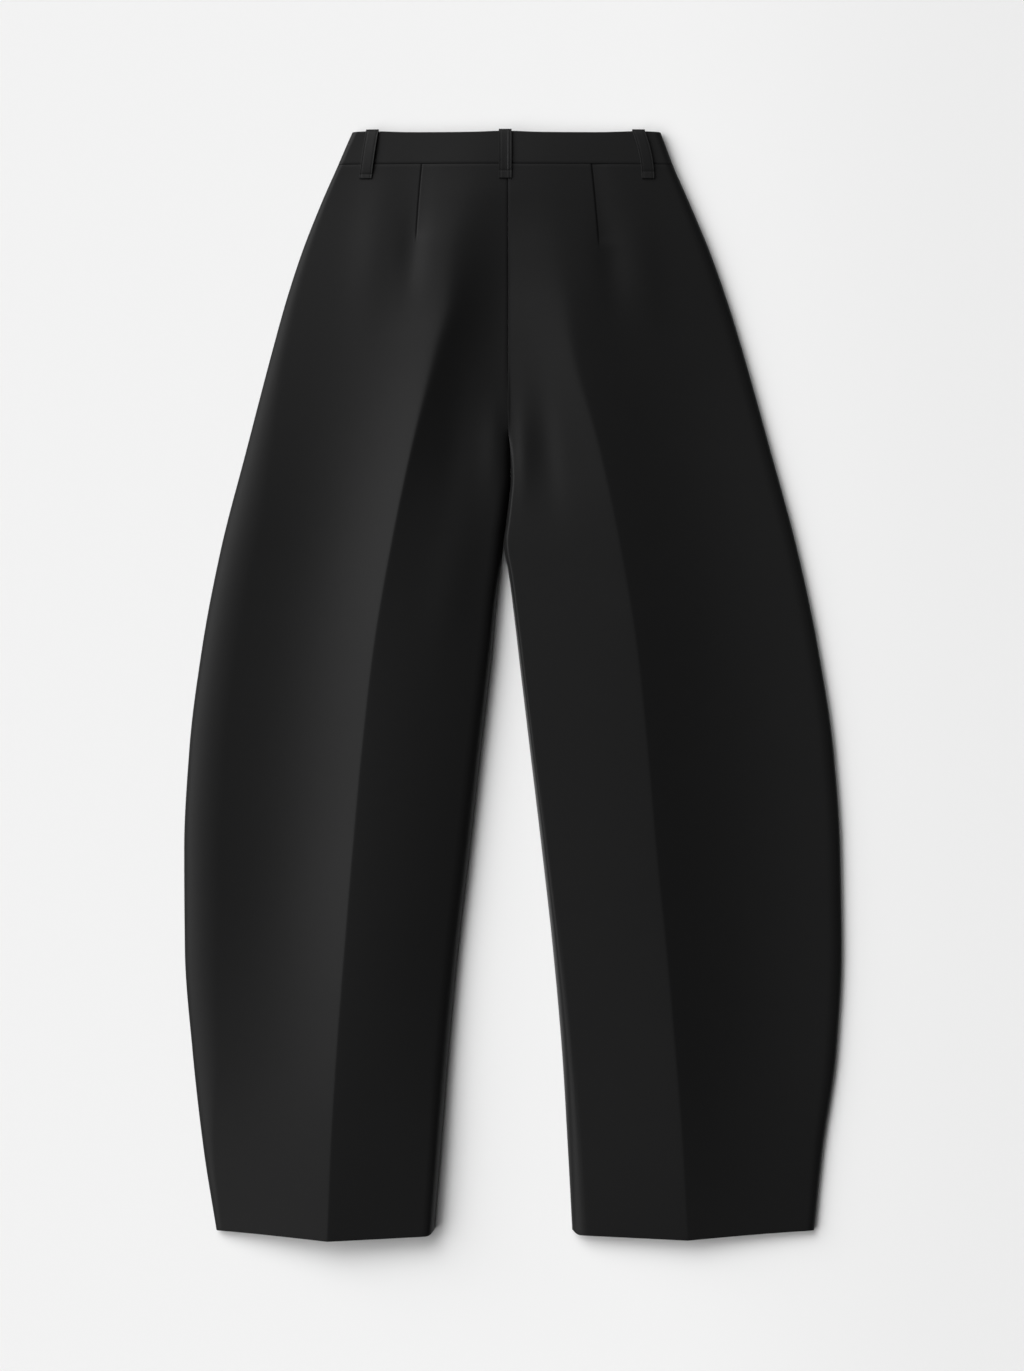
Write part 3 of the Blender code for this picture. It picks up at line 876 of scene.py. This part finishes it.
@dataclass
class TrouserLeg:
    """One leg: its back panel with its dart, and its front panel, which lies on the floor."""

    form: LegForm
    wall: float = 1.6
    back_rows: int = 300
    back_points: tuple[int, int, int] = (42, 38, 38)
    front_rows: int = 130
    front_points: int = 48
    dart_blend: float = 160.0

    def build(self) -> None:
        """Makes the front panel, and the back panel on it."""
        label = self.form.side.label
        front = self.panel(f"front_{label}", self.front_rows, self.front_columns, self.form.front, turned=True)
        front.declare(front.build(), ["floor"])
        back = self.panel(f"back_{label}", self.back_rows, self.back_columns, self.form.back, turned=False)
        back.declare(back.build(), [f"front_{label}_panel"])

    def panel(
        self,
        node: str,
        count: int,
        columns: Callable[[float], np.ndarray],
        surface: Callable[[float, np.ndarray], np.ndarray],
        turned: bool,
    ) -> ClothSheet:
        """A panel from the waist seam to the hem.

        Args:
            node: The frame's node that it stands for.
            count: Number of rows of points.
            columns: Gives a row's distances across.
            surface: Gives a row's points.
            turned: True for the side that faces the floor.

        Returns:
            The panel, not yet built.
        """
        step = self.form.side.value
        rows, anchors = [], []
        for down in reversed(np.linspace(BAND_HEIGHT + SEAM_GAP / 2, HEM, count)):
            across = columns(down)
            crease = float(np.interp(self.form.shape(down).crease, across, np.arange(len(across))))
            rows.append(surface(down, across)[::step])
            anchors.append(crease if step > 0 else len(across) - 1 - crease)
        return ClothSheet(f"{node}_panel", rows, anchors, PANEL_CLOTH, Slot.CLOTH, [node], self.wall, turned)

    def front_columns(self, down: float) -> np.ndarray:
        """Distances across of a row of the front, with more points at its edges."""
        shape = self.form.shape(down)
        return shape.columns(self.front_points, [(0.0, 5.0, 5.0), (shape.width, 5.0, 5.0)])

    def back_columns(self, down: float) -> np.ndarray:
        """Distances across of a row of the back, with points on its dart and its crease and more points near them."""
        shape = self.form.shape(down)
        below = smoothstep((down - self.form.dart.tip_down) / self.dart_blend)
        dart = (self.form.dart.line(down) - shape.section.outer) * self.form.side.value
        dart += (0.5 * shape.crease - dart) * below
        sharp = max(2.0, shape.edges.crease_width)
        edge, seam = (0.0, 6.0, 4.0), (shape.width, 4.0, 6.0)
        crease = (shape.crease, 1.5 * sharp, 10.0 / sharp)
        pleat = (dart, 2.5, 8.0 * (1.0 - below))
        outer, middle, inner = self.back_points
        return np.concatenate(
            [
                spaced(0.0, dart, outer, (edge, pleat))[:-1],
                spaced(dart, shape.crease, middle, (pleat, crease))[:-1],
                spaced(shape.crease, shape.width, inner, (crease, seam)),
            ]
        )


@dataclass
class Waistband:
    """One half of the waistband, from the centre back round the side to the centre front."""

    form: LegForm
    loop_places: tuple[float, ...]
    wall: float = 2.2
    rows: int = 30
    back_points: int = 90
    front_points: int = 40
    proud: float = 0.4
    edge_width: float = 1.6
    top_dip: float = 1.2
    dip_reach: float = 24.0
    dip_fade: float = 12.0

    def build(self) -> None:
        """Makes the half waistband."""
        label = self.form.side.label
        downs = np.linspace(0.0, BAND_HEIGHT - SEAM_GAP / 2, self.rows)
        rows = [self.row(down)[:: self.form.side.value] for down in downs]
        side = self.back_points - 1 if self.form.side is Side.LEFT else self.front_points - 1
        sheet = ClothSheet(
            f"waistband_{label}_half",
            rows,
            [float(side)] * len(rows),
            BAND_CLOTH,
            Slot.WAISTBAND,
            [f"waistband_{label}"],
            self.wall,
            soft_edge=0.7,
        )
        sheet.declare(sheet.build(), [f"front_{label}_panel"])

    def row(self, down: float) -> np.ndarray:
        """A row of points from the centre back, round the side, to the centre front."""
        shape = self.form.shape(down)
        edges = [(0.0, 6.0, 4.0), (shape.width, 4.0, 3.0)]
        back = self.form.back(down, shape.columns(self.back_points, edges)[1:])
        front = self.form.front(down, shape.columns(self.front_points, edges)[1:])
        side = place(np.array([shape.section.outer]), down, np.array([SIDE_SEAM_HEIGHT]))
        points = np.vstack([back[::-1], side, front])
        x = points[:, 0] / MM + MIDDLE
        near = np.zeros_like(x)
        for loop in self.loop_places:
            near = np.maximum(near, np.exp(-(((x - loop) / self.dip_reach) ** 2)))
        points[:, 1] -= self.top_dip * (1.0 - near) * (1.0 - smoothstep(down / self.dip_fade)) * MM
        points[: len(back), 2] += self.proud * smoothstep((BAND_HEIGHT - down) / self.edge_width) * MM
        return points


@dataclass
class BeltLoop:
    """A belt loop: a folded strip over the waistband, tucked over its top edge and sewn down below it."""

    name: str
    top: float
    middle: float
    bottom: float
    lift_left: float
    lift_right: float
    sewn: float
    width: float = 12.6
    length: float = 46.6
    wall: float = LOOP_WALL
    tuck: float = 2.5
    clearance: float = 0.6
    rows: int = 64
    points: int = 31
    pinch: float = 0.2
    pinch_reach: float = 0.9
    edge_stitch: float = 4.7
    stitch_groove: float = 0.16
    stitch_reach: float = 0.7
    stitch_pitch: float = 2.6
    stitch_length: float = 2.0
    bar_half: float = 5.0
    bar_pitch: float = 1.0
    bar_stitch: float = 0.85
    turn_start: float = 0.2
    turn_drop: float = 0.4

    def build(self, legs: dict[Side, LegForm]) -> None:
        """Makes the loop and its stitches on the surface of the back.

        Args:
            legs: The forms of both legs.
        """
        shares = np.linspace(1.0, 0.0, self.rows)
        steps = [(share * self.length, 0.0) for share in shares[:-1]]
        steps += [(-self.turn_start, 0.0), (-LOOP_STANDOFF, -self.turn_drop), (-LOOP_STANDOFF, -self.tuck)]
        rows = [self.row(legs, down, sink) for down, sink in steps]
        middle = [(self.points - 1) / 2] * len(rows)
        sheet = ClothSheet(
            f"{self.name}_strip",
            rows,
            middle,
            LOOP_CLOTH,
            Slot.BELT_LOOP,
            [self.name],
            self.wall,
            outward=True,
        )
        strip = sheet.build()
        stitches = self.stitches(legs)
        band = "waistband_left_half" if self.name.endswith("left") else "waistband_right_half"
        sheet.declare(strip, [band], [stitches])

    def centre(self, down: float) -> float:
        """Middle of the loop's width at a distance down."""
        share = min(max(down / self.length, 0.0), 1.0)
        bow = self.middle - (self.top + self.bottom) / 2
        return (1 - share) * self.top + share * self.bottom + 4 * bow * share * (1 - share)

    def row(self, legs: dict[Side, LegForm], down: float, sink: float) -> np.ndarray:
        """A row of points across the loop's lower face.

        Args:
            legs: The forms of both legs.
            down: Distance below the waistband's top edge.
            sink: Height added past the top, where the loop turns under.

        Returns:
            The row's points.
        """
        places = np.linspace(-0.5, 0.5, self.points)
        xs = self.centre(down) + self.width * places
        arch = math.sqrt(max(math.sin(math.pi * min(max(down, 0.0) / self.sewn, 1.0)), 0.0))
        lifts = (self.lift_left * (0.5 - places) + self.lift_right * (0.5 + places)) * arch
        lifts = lifts - self.pinch * math.exp(-(((down - self.sewn) / self.pinch_reach) ** 2))
        for line in (-self.edge_stitch, self.edge_stitch):
            aside = (self.width * places - line) / self.stitch_reach
            lifts = lifts - self.stitch_groove * np.exp(-(aside**2))
        heights = np.array([self.ground(legs, x, max(down, 0.0)) for x in xs])
        return place(xs, down, heights + self.clearance + lifts + sink)

    def ground(self, legs: dict[Side, LegForm], x: float, down: float) -> float:
        """Height of the cloth under the loop."""
        middle = legs[Side.LEFT].centre_curve.row(down).midline
        side = Side.LEFT if x < middle else Side.RIGHT
        return legs[side].surface(x, down)

    def stitches(self, legs: dict[Side, LegForm]) -> bpy.types.Object:
        """Makes the two lines of edge stitching and the bar of stitches that holds the loop's lower end.

        Args:
            legs: The forms of both legs.

        Returns:
            The object that holds all the stitches.
        """
        line = StitchLine(f"{self.name}_stitches")
        for across in (-self.edge_stitch, self.edge_stitch):
            for down in np.arange(self.stitch_length, self.sewn - 1.5, self.stitch_pitch):
                line.add(*(self.face_point(legs, at, across) for at in (down, down + self.stitch_length)))
        for across in np.arange(-self.bar_half, self.bar_half - 0.4, self.bar_pitch):
            line.add(*(self.face_point(legs, self.sewn, at) for at in (across, across + self.bar_stitch)))
        return line.build()

    def face_point(self, legs: dict[Side, LegForm], down: float, across: float) -> Vector:
        """A point of the loop's outer face, at a distance from the middle of its width."""
        row = self.row(legs, down, 0.0)
        at = np.interp(across / self.width, np.linspace(-0.5, 0.5, self.points), np.arange(self.points))
        low = [np.interp(at, np.arange(self.points), row[:, k]) for k in range(3)]
        return Vector(low) + Vector((0.0, 0.0, self.wall * MM))


@dataclass
class StitchLine:
    """Separate stitches of thread, each a slim bead half sunk in the cloth."""

    name: str
    width: float = 0.42
    height: float = 0.26
    stitches: list[tuple[Vector, Vector]] = field(default_factory=list)

    def add(self, start: Vector, end: Vector) -> None:
        """Adds a stitch between two points."""
        self.stitches.append((start, end))

    def build(self) -> bpy.types.Object:
        """Makes the stitches as one piece.

        Returns:
            The finished object.
        """
        bm = bmesh.new()
        for start, end in self.stitches:
            bead = bmesh.ops.create_icosphere(bm, subdivisions=1, radius=0.5)
            along = end - start
            turn = along.to_track_quat("X", "Z").to_matrix().to_4x4()
            size = Matrix.Diagonal((along.length, self.width * MM, self.height * MM, 1.0))
            move = Matrix.Translation((start + end) / 2)
            bmesh.ops.transform(bm, matrix=move @ turn @ size, verts=bead["verts"])
        for face in bm.faces:
            face.smooth = True
        piece = linked_object(bm, self.name, THREAD.material())
        piece.data.uv_layers.new(name="cloth")
        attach(piece, ROOT)
        LOG.info("%s: %d stitches", self.name, len(self.stitches))
        return piece


@dataclass(frozen=True)
class SoftLight:
    """A wide soft light from far away: its way round from +X, its height over the floor, its spread and strength."""

    name: str
    azimuth: float
    elevation: float
    spread: float
    strength: float

    def build(self) -> None:
        """Adds the light to the scene."""
        lamp = bpy.data.lights.new(self.name, "SUN")
        lamp.energy = self.strength
        lamp.angle = math.radians(self.spread)
        azimuth, elevation = math.radians(self.azimuth), math.radians(self.elevation)
        flat = math.cos(elevation)
        towards = Vector((math.cos(azimuth) * flat, math.sin(azimuth) * flat, math.sin(elevation)))
        light = bpy.data.objects.new(self.name, lamp)
        light.rotation_mode = "QUATERNION"
        light.rotation_quaternion = towards.to_track_quat("Z", "Y")
        bpy.context.scene.collection.objects.link(light)


@dataclass
class Studio:
    """The pale floor, the soft lights on the left, and the camera straight above."""

    floor_size: float = 9.0
    lens: float = 100.0
    sensor: float = 36.0
    pixel: float = 0.98
    image_height: int = 1371
    image_middle_row: float = 685.5
    band_row: float = 131.0
    cloth_height: float = 12.0
    surround: float = 0.03
    lights: tuple[SoftLight, ...] = (
        SoftLight("key", 150.0, 31.0, 56.0, 3.12),
        SoftLight("upper", 112.0, 45.0, 40.0, 1.25),
        SoftLight("side", 200.0, 43.0, 46.0, 1.35),
    )

    def build(self) -> None:
        """Makes the floor, the lights, the surround and the camera."""
        self.floor()
        for light in self.lights:
            light.build()
        self.world()
        self.camera()
        bpy.context.scene.view_settings.view_transform = "Standard"

    def floor(self) -> None:
        """The floor, wide enough to fill the picture from any side."""
        bm = bmesh.new()
        bmesh.ops.create_grid(bm, x_segments=2, y_segments=2, size=self.floor_size / 2)
        linked_object(bm, "floor", PALE_FLOOR.material())

    def world(self) -> None:
        """A dim even surround."""
        world = bpy.data.worlds.new("surround")
        world.use_nodes = True
        background = world.node_tree.nodes["Background"]
        background.inputs["Color"].default_value = (1.0, 1.0, 1.0, 1.0)
        background.inputs["Strength"].default_value = self.surround
        bpy.context.scene.world = world

    def camera(self) -> None:
        """A camera straight above, with the waist at the top of the picture."""
        data = bpy.data.cameras.new("camera")
        data.lens = self.lens
        data.sensor_width = self.sensor
        reach = self.image_height * self.pixel * self.lens / self.sensor
        below_band = (self.image_middle_row - self.band_row) * self.pixel
        camera = bpy.data.objects.new("camera", data)
        camera.location = Vector((-MIDDLE, TOP - below_band, reach + self.cloth_height)) * MM
        bpy.context.scene.collection.objects.link(camera)
        bpy.context.scene.camera = camera


LEFT_DART = Dart(-88.2, -91.6, -94.1, 109.8, groove=0.3, width=0.85, step=0.45)
RIGHT_DART = Dart(77.9, 82.0, 85.3, 114.7, groove=0.25, width=0.9, step=1.0)
LEFT_BACK_FOLDS = (
    SoftFold(118.0, -98.0, 38.0, 12.0, -1.5, -0.05),
    SoftFold(105.0, -134.0, 70.0, 20.0, 1.3, -0.1),
    SoftFold(316.0, -17.0, 42.0, 13.0, 1.8, 0.0),
    SoftFold(300.0, -56.0, 60.0, 16.0, -1.0, -0.1),
    SoftFold(440.0, -58.0, 70.0, 20.0, 1.0, -0.15),
)
RIGHT_BACK_FOLDS = (
    SoftFold(130.0, 97.0, 42.0, 14.0, -1.3, 0.1),
    SoftFold(132.0, 127.0, 55.0, 18.0, 1.0, 0.15),
    SoftFold(316.0, 11.0, 42.0, 10.0, 1.3, 0.0),
    SoftFold(312.0, 34.0, 50.0, 12.0, -1.2, 0.1),
)
LEFT_FRONT_FOLDS = (
    SoftFold(640.0, -205.0, 420.0, 3.0, 1.1, -0.14),
    SoftFold(420.0, -150.0, 120.0, 18.0, 1.2, -0.3),
    SoftFold(760.0, -240.0, 150.0, 22.0, 0.9, 0.05),
)
RIGHT_FRONT_FOLDS = (
    SoftFold(640.0, 198.0, 420.0, 3.0, 1.1, 0.14),
    SoftFold(380.0, 120.0, 110.0, 16.0, 1.3, 0.32),
    SoftFold(820.0, 225.0, 140.0, 20.0, 0.8, -0.04),
)
BELT_LOOPS = (
    BeltLoop("belt_loop_left", -136.8, -140.6, -143.6, 1.9, 2.4, sewn=42.2),
    BeltLoop("belt_loop_centre", -6.6, -6.6, -6.6, 1.3, 1.3, sewn=39.2),
    BeltLoop("belt_loop_right", 124.0, 130.8, 133.4, 1.6, 1.4, sewn=39.5),
)


def main() -> None:
    """Builds the trousers on the frame, then the studio."""
    logging.basicConfig(level=logging.INFO, format="%(name)s %(message)s")
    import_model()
    legs = {
        side: LegForm(side, *tables)
        for side, tables in (
            (Side.LEFT, (LEFT_SECTIONS, LEFT_ROUNDS, LEFT_BACK_FOLDS, LEFT_FRONT_FOLDS, LEFT_DART)),
            (Side.RIGHT, (RIGHT_SECTIONS, RIGHT_ROUNDS, RIGHT_BACK_FOLDS, RIGHT_FRONT_FOLDS, RIGHT_DART)),
        )
    }
    for form in legs.values():
        TrouserLeg(form).build()
        Waistband(form, tuple(loop.top for loop in BELT_LOOPS)).build()
    for loop in BELT_LOOPS:
        loop.build(legs)
    Studio().build()


if __name__ == "__main__":
    main()
